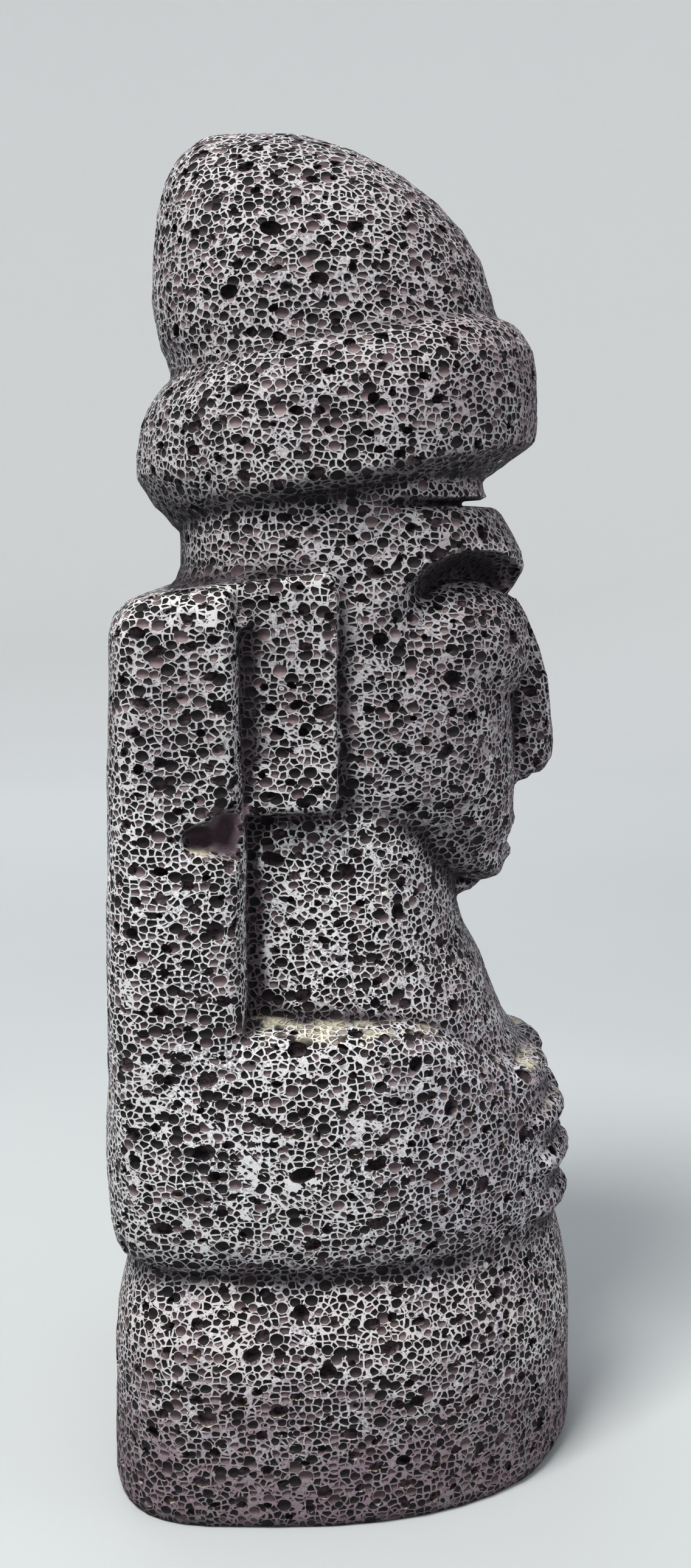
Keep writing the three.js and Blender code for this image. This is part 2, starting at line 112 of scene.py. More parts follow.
# large hollows that show on the right side: towards the back, height, half length, half height, depth
LARGE_HOLLOWS = [
    (21.7, 235.6, 2.2, 1.9, 1.8),
    (26.0, 243.0, 1.6, 1.5, 1.5),
    (19.5, 212.0, 1.9, 1.7, 1.6),
    (12.7, 211.5, 1.3, 1.3, 1.5),
    (15.4, 197.0, 1.7, 1.6, 1.6),
    (-7.0, 195.6, 2.6, 1.8, 1.7),
    (20.9, 186.0, 2.4, 1.3, 1.6),
    (-6.7, 171.6, 1.7, 1.6, 1.8),
    (-12.1, 171.2, 1.7, 1.6, 1.8),
    (-19.2, 153.6, 2.3, 1.5, 2.2),
    (-13.6, 167.2, 4.2, 2.2, 2.6),
    (-6.4, 164.2, 2.4, 2.0, 2.0),
    (-1.2, 37.5, 3.3, 1.3, 1.8),
    (27.1, 29.2, 1.8, 1.5, 1.6),
    (16.5, 7.6, 1.9, 1.5, 1.6),
]


def hex_colour(text):
    """An sRGB hex value as the linear colour that the nodes take."""
    parts = [int(text[i : i + 2], 16) / 255 for i in (0, 2, 4)]
    return tuple(p / 12.92 if p <= 0.04045 else ((p + 0.055) / 1.055) ** 2.4 for p in parts) + (1.0,)


def add(tree, kind, inputs=(), out=0, **settings):
    """Adds a node with its settings and links, and gives one of its outputs.

    Inputs are named or in order, and sockets that the settings switch off don't count. An input that
    is given a socket, or a list of them, is linked, and any other is set. With out=None the node
    itself is given.
    """
    node = tree.nodes.new(kind)
    for name, value in settings.items():
        setattr(node, name, value)
    takes = [s for s in node.inputs if s.enabled and not s.is_unavailable]
    gives = [s for s in node.outputs if s.enabled and not s.is_unavailable]
    for key, value in inputs.items() if isinstance(inputs, dict) else enumerate(inputs):
        socket = takes[key] if isinstance(key, int) else next(s for s in takes if s.name == key)
        if isinstance(value, (list, bpy.types.NodeSocket)):
            for source in value if isinstance(value, list) else [value]:
                tree.links.new(source, socket)
        else:
            socket.default_value = value
    if out is None:
        return node
    return gives[out] if isinstance(out, int) else next(s for s in gives if s.name == out)


def closed_copy(node):
    """A copy of a solid of the frame with its loose triangles joined into one closed skin."""
    mesh = node.data.copy()
    work = bmesh.new()
    work.from_mesh(mesh)
    bmesh.ops.remove_doubles(work, verts=work.verts, dist=0.002 * MM)
    work.to_mesh(mesh)
    work.free()
    mesh.materials.clear()
    obj = bpy.data.objects.new("statue_stone", mesh)
    bpy.context.scene.collection.objects.link(obj)
    return obj


def work_in(obj):
    """Turns what the object's modifiers make into its plain mesh."""
    graph = bpy.context.evaluated_depsgraph_get()
    graph.update()
    mesh = bpy.data.meshes.new_from_object(
        obj.evaluated_get(graph), preserve_all_data_layers=True, depsgraph=graph
    )
    mesh.name = obj.name
    obj.modifiers.clear()
    obj.data = mesh


def shape_tree(name, sockets):
    """A new tree for shapes, with one geometry in and out and the named inputs that are given."""
    tree = bpy.data.node_groups.new(name, "GeometryNodeTree")
    tree.is_modifier = True
    tree.interface.new_socket("Geometry", in_out="OUTPUT", socket_type="NodeSocketGeometry")
    tree.interface.new_socket("Geometry", in_out="INPUT", socket_type="NodeSocketGeometry")
    for label, kind in sockets.items():
        tree.interface.new_socket(label, in_out="INPUT", socket_type=kind)
    return tree, add(tree, "NodeGroupInput", out=None)


def with_tree(obj, tree, values):
    """Gives the object the tree as a modifier, with each named input set by its socket's identifier."""
    modifier = obj.modifiers.new(tree.name, "NODES")
    modifier.node_group = tree
    for item in tree.interface.items_tree:
        if item.in_out == "INPUT" and item.name in values:
            modifier[item.identifier] = values[item.name]


def worn_block_tree():
    """Leaves the face of the stone slightly uneven, and keeps how far each place stands proud."""
    tree, given = shape_tree(
        "worn_block",
        {
            "Unevenness": "NodeSocketFloat",
            "Size of a cut": "NodeSocketFloat",
            "Stone": "NodeSocketMaterial",
        },
    )
    place = add(tree, "GeometryNodeInputPosition")
    normal = add(tree, "GeometryNodeInputNormal")
    evened = add(
        tree,
        "GeometryNodeBlurAttribute",
        {"Value": place, "Iterations": EVENING_STEPS},
        data_type="FLOAT_VECTOR",
    )
    away = add(tree, VECTOR, (place, evened), operation="SUBTRACT")
    proud = add(tree, VECTOR, (away, normal), operation="DOT_PRODUCT")
    along = add(tree, "ShaderNodeSeparateXYZ", (place,), out=None)
    # rain has worn the crown's foot, the cheek under each eye and, less, the fingers into soft forms
    side, back, height = along.outputs
    over_brim = add(tree, MATH, (back, BRIM_RISE, height), operation="MULTIPLY_ADD")
    over_brim = add(tree, MATH, (over_brim, BRIM_TOP), operation="SUBTRACT")
    over_brim = add(tree, MATH, (over_brim,), operation="ABSOLUTE")
    softened = add(tree, STEP, (over_brim, 8 * MM, 3 * MM, 0.0, 0.45), **SOFT)
    side = add(tree, MATH, (side,), operation="ABSOLUTE")
    cheek = add(tree, "ShaderNodeCombineXYZ", (side, back, height))
    cheek = add(tree, VECTOR, (cheek, CHEEK_MIDDLE), operation="DISTANCE")
    cheek = add(tree, STEP, (cheek, 12 * MM, 6 * MM), **SOFT)
    softened = add(tree, MATH, (softened, cheek), operation="MAXIMUM")
    kept = add(tree, MATH, (1.0, softened), operation="SUBTRACT")
    fingers = add(tree, STEP, (back, -34 * MM, -40 * MM, 0.0, 0.3), **SOFT)
    softened = add(tree, MATH, (softened, fingers), operation="MAXIMUM")
    proud = add(tree, MATH, (proud, kept), operation="MULTIPLY")
    eased = add(tree, MIX, (softened, place, evened), data_type="VECTOR")
    block = given.outputs["Geometry"]
    block = add(tree, KEEP, {"Geometry": block, "Name": "proud", "Value": proud}, data_type="FLOAT")
    scale = add(tree, MATH, (1.0, given.outputs["Size of a cut"]), operation="DIVIDE")
    waves = add(tree, NOISE, {"Vector": place, "Scale": scale, "Detail": 3.0, "Roughness": 0.6})
    waves = add(tree, MATH, (waves, 0.5), operation="SUBTRACT")
    waves = add(tree, MATH, (waves, given.outputs["Unevenness"]), operation="MULTIPLY")
    # the face that the stone stands on stays true
    off_ground = add(tree, STEP, (height, 0.5 * MM, 4 * MM), **SOFT)
    waves = add(tree, MATH, (waves, off_ground), operation="MULTIPLY")
    shift = add(tree, VECTOR, {"Vector": normal, "Scale": waves}, operation="SCALE")
    block = add(tree, "GeometryNodeSetPosition", {"Geometry": block, "Position": eased, "Offset": shift})
    block = add(tree, "GeometryNodeRealizeInstances", (block,))
    block = add(tree, "GeometryNodeSetMaterial", {"Geometry": block, "Material": given.outputs["Stone"]})
    add(tree, "NodeGroupOutput", (block,), out=None)
    return tree


def hollow_marks(stone):
    """A point on the stone's right side for each large hollow, which holds the hollow's size."""
    marks = []
    for back, height, length, tall, deep in LARGE_HOLLOWS:
        hit, spot, outward, _ = stone.ray_cast((-0.2, back * MM, height * MM), (1, 0, 0))
        if hit:
            marks.append((spot, outward, (deep * MM, length * MM, tall * MM)))
    mesh = bpy.data.meshes.new("large_hollows")
    mesh.from_pydata([spot for spot, _, _ in marks], [], [])
    outward = mesh.attributes.new("outward", "FLOAT_VECTOR", "POINT")
    size = mesh.attributes.new("size", "FLOAT_VECTOR", "POINT")
    radius = mesh.attributes.new("radius", "FLOAT", "POINT")
    for i, (_, side, half) in enumerate(marks):
        outward.data[i].vector = side
        size.data[i].vector = half
        radius.data[i].value = max(half)
    obj = bpy.data.objects.new("large_hollows", mesh)
    bpy.context.scene.collection.objects.link(obj)
    return obj


def scattered_holes(tree, stone, spacing, radius, least, seed):
    """Points spread over the stone, clear of its underside and its grooves, that hold a hole's size.

    The holes lie flat, a little longer than they are high, as gas does in a lava that still flows.
    """
    height = add(tree, "GeometryNodeInputPosition")
    height = add(tree, "ShaderNodeSeparateXYZ", (height,), out="Z")
    above = add(tree, "FunctionNodeCompare", (height, GROUND_RIM), operation="GREATER_THAN")
    proud = add(tree, KEPT, {"Name": "proud"}, data_type="FLOAT")
    outside = add(tree, "FunctionNodeCompare", (proud, GROOVE), operation="GREATER_THAN")
    clear = add(tree, "FunctionNodeBooleanMath", (above, outside), operation="AND")
    spread = add(
        tree,
        "GeometryNodeDistributePointsOnFaces",
        {
            "Mesh": stone,
            "Selection": clear,
            "Distance Min": spacing,
            "Density Max": CROWDED,
            "Seed": seed,
        },
        out=None,
        distribute_method="POISSON",
    )
    drawn = add(tree, DRAW, {"Min": least, "Max": 1.0, "Seed": seed + 1}, data_type="FLOAT")
    size = add(tree, MATH, (radius, drawn), operation="MULTIPLY")
    stretch = add(
        tree,
        DRAW,
        {"Min": (0.8, 0.9, 0.65), "Max": (1.2, 1.35, 1.0), "Seed": seed + 2},
        data_type="FLOAT_VECTOR",
    )
    half = add(tree, VECTOR, {"Vector": stretch, "Scale": size}, operation="SCALE")
    points = add(tree, KEEP, {"Geometry": spread.outputs["Points"], "Name": "radius", "Value": size})
    points = add(
        tree,
        KEEP,
        {"Geometry": points, "Name": "outward", "Value": spread.outputs["Normal"]},
        data_type="FLOAT_VECTOR",
    )
    return add(tree, KEEP, {"Geometry": points, "Name": "size", "Value": half}, data_type="FLOAT_VECTOR")


def clear_of(tree, points, others, wall):
    """Leaves out each point whose hole would break into one of the others."""
    place = add(tree, "GeometryNodeInputPosition")
    radius = add(tree, KEPT, {"Name": "radius"}, data_type="FLOAT")
    nearest = add(tree, "GeometryNodeSampleNearest", {"Geometry": others, "Sample Position": place})
    there = add(
        tree,
        "GeometryNodeSampleIndex",
        {"Geometry": others, "Value": place, "Index": nearest},
        data_type="FLOAT_VECTOR",
    )
    its_radius = add(
        tree, "GeometryNodeSampleIndex", {"Geometry": others, "Value": radius, "Index": nearest}
    )
    gap = add(tree, VECTOR, (place, there), operation="DISTANCE")
    reach = add(tree, MATH, (its_radius, radius), operation="ADD")
    reach = add(tree, MATH, (reach, 1.2, wall), operation="MULTIPLY_ADD")
    crowded = add(tree, "FunctionNodeCompare", (gap, reach), operation="LESS_THAN")
    return add(tree, "GeometryNodeDeleteGeometry", {"Geometry": points, "Selection": crowded})


def hollows_at(tree, points, faces_level, low, high, seed):
    """A rough ball for each point, moved in or out so that its hole opens wide or narrow."""
    outward = add(tree, KEPT, {"Name": "outward"}, data_type="FLOAT_VECTOR")
    radius = add(tree, KEPT, {"Name": "radius"}, data_type="FLOAT")
    drawn = add(tree, DRAW, {"Min": low, "Max": high, "Seed": seed}, data_type="FLOAT")
    push = add(tree, MATH, (radius, drawn), operation="MULTIPLY")
    shift = add(tree, VECTOR, {"Vector": outward, "Scale": push}, operation="SCALE")
    points = add(tree, "GeometryNodeSetPosition", {"Geometry": points, "Offset": shift})
    ball = add(tree, "GeometryNodeMeshIcoSphere", {"Radius": 1.0, "Subdivisions": faces_level})
    tilt = add(
        tree,
        DRAW,
        {"Min": (-0.4, -0.4, -0.4), "Max": (0.4, 0.4, 0.4), "Seed": seed + 1},
        data_type="FLOAT_VECTOR",
    )
    size = add(tree, KEPT, {"Name": "size"}, data_type="FLOAT_VECTOR")
    return add(
        tree,
        "GeometryNodeInstanceOnPoints",
        {"Points": points, "Instance": ball, "Rotation": tilt, "Scale": size},
    )


def vesicle_tree():
    """Cuts the gas holes that show singly: the known large ones, others like them, and small ones."""
    tree, given = shape_tree(
        "vesicles",
        {
            "Known hollows": "NodeSocketObject",
            "Large spacing": "NodeSocketFloat",
            "Large radius": "NodeSocketFloat",
            "Small spacing": "NodeSocketFloat",
            "Small radius": "NodeSocketFloat",
            "Wall": "NodeSocketFloat",
            "Roughness": "NodeSocketFloat",
            "Stone": "NodeSocketMaterial",
        },
    )
    size = {name: given.outputs[name] for name in given.outputs.keys() if name}
    stone = size["Geometry"]
    known = add(tree, "GeometryNodeObjectInfo", {"Object": size["Known hollows"]}, out="Geometry")
    known = add(tree, "GeometryNodeMeshToPoints", (known,))
    large = scattered_holes(tree, stone, size["Large spacing"], size["Large radius"], 0.55, SEED)
    large = clear_of(tree, large, known, size["Wall"])
    large = add(tree, "GeometryNodeJoinGeometry", ([known, large],))
    small = scattered_holes(tree, stone, size["Small spacing"], size["Small radius"], 0.5, SEED + 10)
    small = clear_of(tree, small, large, size["Wall"])
    large = hollows_at(tree, large, 2, -0.4, 0.2, SEED + 20)
    small = hollows_at(tree, small, 1, -0.35, 0.15, SEED + 30)
    hollows = add(tree, "GeometryNodeJoinGeometry", ([large, small],))
    hollows = add(tree, "GeometryNodeRealizeInstances", (hollows,))
    # no hollow is a true ball
    place = add(tree, "GeometryNodeInputPosition")
    push = add(tree, NOISE, {"Vector": place, "Scale": 1 / (1.6 * MM), "Detail": 1.0}, out="Color")
    push = add(tree, VECTOR, (push, (0.5, 0.5, 0.5)), operation="SUBTRACT")
    push = add(tree, VECTOR, {"Vector": push, "Scale": size["Roughness"]}, operation="SCALE")
    hollows = add(tree, "GeometryNodeSetPosition", {"Geometry": hollows, "Offset": push})
    cut = add(
        tree,
        "GeometryNodeMeshBoolean",
        {"Mesh 1": stone, "Mesh 2": hollows},
        operation="DIFFERENCE",
        solver="MANIFOLD",
    )
    # how deep each place lies under the worn face, which the painted shade in the cut holes follows
    depth = add(
        tree,
        "GeometryNodeProximity",
        {0: stone, "Sample Position": place},
        out="Distance",
        target_element="FACES",
    )
    cut = add(tree, KEEP, {"Geometry": cut, "Name": "depth", "Value": depth})
    # faces are shaded round, and the rims of the holes stay crisp
    angle = add(tree, "GeometryNodeInputMeshEdgeAngle", out="Unsigned Angle")
    soft = add(tree, "FunctionNodeCompare", (angle, ROUND_EDGE), operation="LESS_EQUAL")
    for domain, is_round in (("FACE", True), ("EDGE", soft)):
        shading = {"Geometry": cut, "Shade Smooth": is_round}
        cut = add(tree, "GeometryNodeSetShadeSmooth", shading, domain=domain)
    cut = add(tree, "GeometryNodeRealizeInstances", (cut,))
    cut = add(tree, "GeometryNodeSetMaterial", {"Geometry": cut, "Material": size["Stone"]})
    add(tree, "NodeGroupOutput", (cut,), out=None)
    return tree


def new_material(name):
    """An empty material with its shader and output."""
    material = bpy.data.materials.new(name)
    material.use_nodes = True
    tree = material.node_tree
    tree.nodes.clear()
    shader = add(tree, "ShaderNodeBsdfPrincipled", out=None)
    add(tree, "ShaderNodeOutputMaterial", {"Surface": shader.outputs[0]}, out=None)
    return material, tree, shader


def between(tree, value, rise, fall):
    """1 where the value lies between two levels, with a soft edge over the range given for each."""
    above = add(tree, STEP, (value, *rise), **SOFT)
    below = add(tree, STEP, (value, *fall), **SOFT)
    return add(tree, MATH, (above, below), operation="MULTIPLY")


def pore_bowls(tree, place, size, narrow, wide, closed, wall=0.0):
    """Round pores of about one size, as bowls, with thin walls between them where a wall is given.

    Gives how far down its bowl a place is, 0 on the rim and 1 in the middle, a number drawn for each
    pore, how far under the middle of its pore the place lies, as a share of the size, and where there
    is room for finer pores.
    """
    grid = {"Vector": place, "Scale": 1 / size, "Randomness": PORE_DISORDER}
    cell = add(tree, CELLS, grid, out=None, feature="F1")
    lot = add(tree, "ShaderNodeSeparateColor", (cell.outputs["Color"],), out=None)
    reach = add(tree, STEP, (lot.outputs[0], 0.0, 1.0, narrow, wide))
    away = add(tree, MATH, (cell.outputs["Distance"], reach), operation="DIVIDE")
    away = add(tree, MATH, (away, away), operation="MULTIPLY")
    bowl = add(tree, MATH, (1.0, away), operation="SUBTRACT", use_clamp=True)
    if wall:
        edge = add(tree, CELLS, grid, feature="DISTANCE_TO_EDGE")
        inside = add(tree, STEP, (edge, wall / 2 / size, (wall / 2 + WALL_FLARE) / size), **SOFT)
        bowl = add(tree, MATH, (bowl, inside), operation="MULTIPLY")
    least = add(tree, MATH, (closed, 0.05), operation="ADD")
    is_open = add(tree, STEP, (lot.outputs[1], closed, least))
    bowl = add(tree, MATH, (bowl, is_open), operation="MULTIPLY")
    shut = add(tree, MATH, (1.0, is_open), operation="SUBTRACT")
    room = add(tree, STEP, (away, 1.15, 1.4))
    room = add(tree, MATH, (room, shut), operation="MAXIMUM")
    under = add(tree, VECTOR, (cell.outputs["Position"], place), operation="SUBTRACT")
    under = add(tree, "ShaderNodeSeparateXYZ", (under,), out="Z")
    under = add(tree, MATH, (under, size), operation="DIVIDE")
    return bowl, lot.outputs[2], under, room


def three_kinds_of_pore(tree, place, front, arms, scuff, patch):
    """Pores of three sizes, each kind in the room that the larger ones leave.

    Gives the two larger kinds as one, with the number drawn for each pore and how far under its
    middle a place lies, then the finest kind, with how far under its middle a place lies.
    """
    sparse = add(tree, MATH, (front, 0.4, 0.3), operation="MULTIPLY_ADD")
    sparse = add(tree, MATH, (scuff, 0.5, sparse), operation="MULTIPLY_ADD")
    large, large_lot, large_under, room = pore_bowls(tree, place, LARGE_PORE, 0.32, 0.54, sparse)
    closed = add(tree, STEP, (patch, 0.42, 0.7, -0.1, 0.06))
    closed = add(tree, MATH, (arms, 0.08, closed), operation="MULTIPLY_ADD")
    closed = add(tree, MATH, (scuff, 0.7, closed), operation="MULTIPLY_ADD")
    pore, lot, under, more_room = pore_bowls(tree, place, PORE, 0.6, 0.9, closed, wall=PORE_WALL)
    pore = add(tree, MATH, (pore, room), operation="MULTIPLY")
    room = add(tree, MATH, (room, more_room), operation="MULTIPLY")
    closed = add(tree, MATH, (scuff, 0.5, 0.03), operation="MULTIPLY_ADD")
    pit, _, pit_under, _ = pore_bowls(tree, place, PIT, 0.42, 0.68, closed)
    pit = add(tree, MATH, (pit, room), operation="MULTIPLY")
    in_large = add(tree, STEP, (large, 0.0, 0.05))
    lot = add(tree, MIX, (in_large, lot, large_lot), data_type="FLOAT")
    under = add(tree, MIX, (in_large, under, large_under), data_type="FLOAT")
    pore = add(tree, MATH, (pore, large), operation="MAXIMUM")
    return pore, lot, under, pit, pit_under


def stained_and_shaded(tree, wall, pore, lot, under, pit, pit_under):
    """The walls with the pores in them, near black where painted shade stands for a deep pore and mauve
    brown in shallow ones, with painted light on the lower part of a pore and painted shade at its top.
    """
    # painted shade: deep pores are near black, and shallow ones keep the mauve brown of the rusted rock
    share = add(tree, STEP, (lot, 0.5, 1.0), **SOFT)
    stain_and_shade = add(tree, MIX, (share, hex_colour("0c070a"), hex_colour("4f3f43")), **COLOURS)
    # painted light on the lower part of the brown pores, which leaves painted shade at their top
    lit_pore_floor = add(tree, STEP, (under, -0.04, 0.38), **SOFT)
    held = add(tree, STEP, (lot, 0.58, 0.9, 0.06, 0.85))
    lit_pore_floor = add(tree, MATH, (lit_pore_floor, held), operation="MULTIPLY")
    stain_and_shade = add(tree, MIX, (lit_pore_floor, stain_and_shade, hex_colour("8a7b7c")), **COLOURS)
    # painted shade at the top of each pit and painted light lower down
    share = add(tree, STEP, (pit_under, -0.05, 0.4), **SOFT)
    pit_shading = add(tree, MIX, (share, hex_colour("120b0f"), hex_colour("6f6165")), **COLOURS)
    colour = add(tree, MIX, (add(tree, STEP, (pit, 0.0, 0.15)), wall, pit_shading), **COLOURS)
    return add(tree, MIX, (add(tree, STEP, (pore, 0.0, 0.12)), colour, stain_and_shade), **COLOURS)


def dusted(tree, colour, place, height, upward, blotch, hole):
    """The stone with cream dust on what faces up, below the head, and a few pale crystals."""
    dust = add(tree, STEP, (upward, 0.6, 1.0, 0.0, 0.7), **SOFT)
    dust = add(tree, MATH, (dust, add(tree, STEP, (blotch, 0.42, 0.62), **SOFT)), operation="MULTIPLY")
    dust = add(tree, MATH, (dust, add(tree, STEP, (height, *HEAD_DUSTLESS))), operation="MULTIPLY")
    dust = add(tree, MATH, (dust, add(tree, STEP, (hole, 1.0, 0.3))), operation="MULTIPLY")
    colour = add(tree, MIX, (dust, colour, hex_colour("ddd8c0")), **COLOURS)
    crystal = add(tree, CELLS, {"Vector": place, "Scale": 1 / CRYSTAL_SPACING}, out=None, feature="F1")
    fleck = add(tree, STEP, (crystal.outputs["Distance"], 0.09, 0.06))
    rare = add(tree, "ShaderNodeSeparateColor", (crystal.outputs["Color"],))
    fleck = add(tree, MATH, (fleck, add(tree, STEP, (rare, 0.8, 0.82))), operation="MULTIPLY")
    return add(tree, MIX, (fleck, colour, hex_colour("e9e6da")), **COLOURS)


def vesicular_basalt():
    """Weathered vesicular basalt, rough from the chisel and from rain: dull, pale grey walls round dark
    holes of every size, mauve brown inside where the iron in the rock has rusted, with no gloss."""
    material, tree, shader = new_material("weathered_vesicular_basalt")
    place = add(tree, "ShaderNodeTexCoord", out="Object")
    mm = add(tree, "ShaderNodeMapping", {"Vector": place, "Scale": (1 / MM, 1 / MM, 1 / MM)})
    along = add(tree, "ShaderNodeSeparateXYZ", (mm,), out=None)
    back, height = along.outputs["Y"], along.outputs["Z"]
    upward = add(tree, "ShaderNodeNewGeometry", out="Normal")
    upward = add(tree, "ShaderNodeSeparateXYZ", (upward,), out="Z")
    # the pores lie a little flat, and none of them is a true circle
    flat = add(tree, VECTOR, (mm, (1.0, 1.0, 1.22)), operation="MULTIPLY")
    bend = add(tree, NOISE, {"Vector": mm, "Scale": 0.8, "Detail": 1.0}, out="Color")
    bend = add(tree, VECTOR, (bend, (0.5, 0.5, 0.5)), operation="SUBTRACT")
    flat = add(tree, VECTOR, (bend, (0.5, 0.5, 0.5), flat), operation="MULTIPLY_ADD")

    patch = add(tree, NOISE, {"Vector": mm, "Scale": 1 / 16, "Detail": 4.0, "Roughness": 0.65})
    blotch = add(tree, NOISE, {"Vector": mm, "Scale": 1 / 5, "Detail": 2.0, "Roughness": 0.6})
    grain = add(tree, NOISE, {"Vector": mm, "Scale": 1 / 0.5, "Detail": 3.0, "Roughness": 0.7})

    # the grain is finer towards the front, and the sleeves and hands are bluer
    front = add(tree, STEP, (back, 6.0, -32.0), **SOFT)
    sleeve = add(tree, STEP, (back, -4.0, -20.0), **SOFT)
    sleeve = add(tree, MATH, (sleeve, between(tree, height, *SLEEVES)), operation="MULTIPLY")
    arms = between(tree, height, *ARMS)
    low = add(tree, STEP, (height, *LOWER_ROBE), **SOFT)

    # scuffs run down across the arms, where the walls are bruised into a pale closed skin
    slant = add(
        tree,
        "ShaderNodeMapping",
        {"Vector": mm, "Rotation": (SCUFF_SLOPE, 0.0, 0.0), "Scale": SCUFF_SIZE},
        vector_type="TEXTURE",
    )
    scuff = add(tree, NOISE, {"Vector": slant, "Scale": 1.0, "Detail": 3.0, "Roughness": 0.65})
    scuff = add(tree, STEP, (scuff, 0.54, 0.66), **SOFT)
    scuff = add(tree, MATH, (scuff, arms), operation="MULTIPLY")

    pores = three_kinds_of_pore(tree, flat, front, arms, scuff, patch)
    pore, pore_lot, _, pit, _ = pores
    depth = add(tree, "ShaderNodeAttribute", out="Fac", attribute_name="depth")
    hole = add(tree, STEP, (depth, 0.05 * MM, 0.5 * MM), **SOFT)
    proud = add(tree, "ShaderNodeAttribute", out="Fac", attribute_name="proud")
    worn = add(tree, STEP, (proud, 0.15 * MM, 1.3 * MM), **SOFT)
    crease_shade = add(tree, STEP, (proud, -0.12 * MM, -1.0 * MM), **SOFT)

    # the walls: grey, paler in patches and where they are worn
    share = add(tree, STEP, (patch, 0.36, 0.64), **SOFT)
    wall = add(tree, MIX, (share, hex_colour("8a858e"), hex_colour("cecdd2")), **COLOURS)
    share = add(tree, STEP, (grain, 0.4, 0.6), **SOFT)
    wall = add(tree, MIX, (share, wall, hex_colour("ecebed")), **COLOURS)
    # the head and hat are in the darker, fresher stone of the top of the lump
    share = add(tree, STEP, (height, *HEAD, 0.0, 0.55), **SOFT)
    wall = add(tree, MIX, (share, wall, hex_colour("7c767c")), **COLOURS)
    wall = add(tree, MIX, (worn, wall, hex_colour("cac8ca")), **COLOURS)
    share = add(tree, STEP, (patch, 0.44, 0.6), **SOFT)
    share = add(tree, MATH, (arms, share), operation="MULTIPLY")
    wall = add(tree, MIX, (share, wall, hex_colour("d2d0d2")), **COLOURS)
    share = add(tree, MATH, (sleeve, 0.45), operation="MULTIPLY")
    wall = add(tree, MIX, (share, wall, hex_colour("b9bcc8")), **COLOURS)
    share = add(tree, MATH, (scuff, 0.8), operation="MULTIPLY")
    wall = add(tree, MIX, (share, wall, hex_colour("dcdbdf")), **COLOURS)
    # painted shade darkens the foot towards the ground, rust and painted shade tint the front, rust
    # tints the lower robe, and a paler band lies under the sleeves
    # painted shade near the ground
    share = add(tree, STEP, (height, *FOOT, 0.0, 0.75), **SOFT)
    wall = add(tree, MIX, (share, wall, hex_colour("55464d")), **COLOURS)
    # on the front this tint is rust and painted shade together, and on the lower robe it is rust
    rust_and_front_shade = add(tree, MATH, (front, 0.8), operation="MULTIPLY")
    rust_and_front_shade = add(tree, MATH, (low, rust_and_front_shade), operation="MAXIMUM")
    share = add(tree, STEP, (blotch, 0.38, 0.6, 0.2, 0.8), **SOFT)
    rust_and_front_shade = add(tree, MATH, (rust_and_front_shade, share), operation="MULTIPLY")
    wall = add(tree, MIX, (rust_and_front_shade, wall, hex_colour("826d79")), **COLOURS)
    share = add(tree, STEP, (patch, 0.38, 0.55), **SOFT)
    share = add(tree, MATH, (between(tree, height, *PALE_BAND), share), operation="MULTIPLY")
    wall = add(tree, MIX, (share, wall, hex_colour("cbc6c8")), **COLOURS)

    colour = stained_and_shaded(tree, wall, *pores)
    # the stone that the broken hollow laid bare is denser and purple brown
    broken = add(tree, VECTOR, (mm, BREAK_MIDDLE), operation="SUBTRACT")
    broken = add(tree, VECTOR, (broken, BREAK_REACH), operation="DIVIDE")
    broken = add(tree, VECTOR, (broken,), operation="LENGTH")
    broken = add(tree, STEP, (broken, 1.0, 0.8), **SOFT)
    laid_bare = add(tree, STEP, (proud, 0.3 * MM, -0.2 * MM))
    broken = add(tree, MATH, (broken, laid_bare), operation="MULTIPLY")
    colour = add(tree, MIX, (broken, colour, hex_colour("8b747d")), **COLOURS)
    # painted shade: the cut holes darken with their depth, to near black and in blotches to the mauve
    # brown of the rusted rock; grooves and what faces down are darkened too
    share = add(tree, STEP, (blotch, 0.4, 0.65), **SOFT)
    deep = add(tree, MIX, (share, hex_colour("1d161b"), hex_colour("63545a")), **COLOURS)
    colour = add(tree, MIX, (hole, colour, deep), **COLOURS)
    # painted shade in grooves and creases, where the form lies below its evened shape
    colour = add(tree, MIX, (crease_shade, colour, hex_colour("655a62")), blend_type="MULTIPLY", **COLOURS)
    # painted shade on what faces down
    underside_shade = add(tree, STEP, (upward, -0.15, -0.75, 0.0, 0.75), **SOFT)
    colour = add(tree, MIX, (underside_shade, colour, hex_colour("4a404a")), blend_type="MULTIPLY", **COLOURS)
    colour = dusted(tree, colour, flat, height, upward, blotch, hole)

    tree.links.new(colour, shader.inputs["Base Color"])
    tree.links.new(add(tree, STEP, (patch, 0.3, 0.7, 0.82, 0.96)), shader.inputs["Roughness"])
    shader.inputs["IOR"].default_value = 1.5
    shader.inputs["Specular IOR Level"].default_value = 0.3
    # black pores are deep, brown ones are shallow, and they are faint in the broken hollow
    down = add(tree, STEP, (pore_lot, 0.3, 1.0, 1.1, 0.6))
    relief = add(tree, MATH, (pore, down), operation="MULTIPLY")
    kept = add(tree, STEP, (broken, 0.0, 1.0, 1.0, 0.2))
    relief = add(tree, MATH, (relief, kept), operation="MULTIPLY")
    relief = add(tree, MATH, (pit, 0.5, relief), operation="MULTIPLY_ADD")
    relief = add(tree, MATH, (grain, -0.2, relief), operation="MULTIPLY_ADD")
    sunken = {"Strength": 1.0, "Distance": PORE_DEPTH, "Height": relief}
    bump = add(tree, "ShaderNodeBump", sunken, invert=True)
    tree.links.new(bump, shader.inputs["Normal"])
    return material


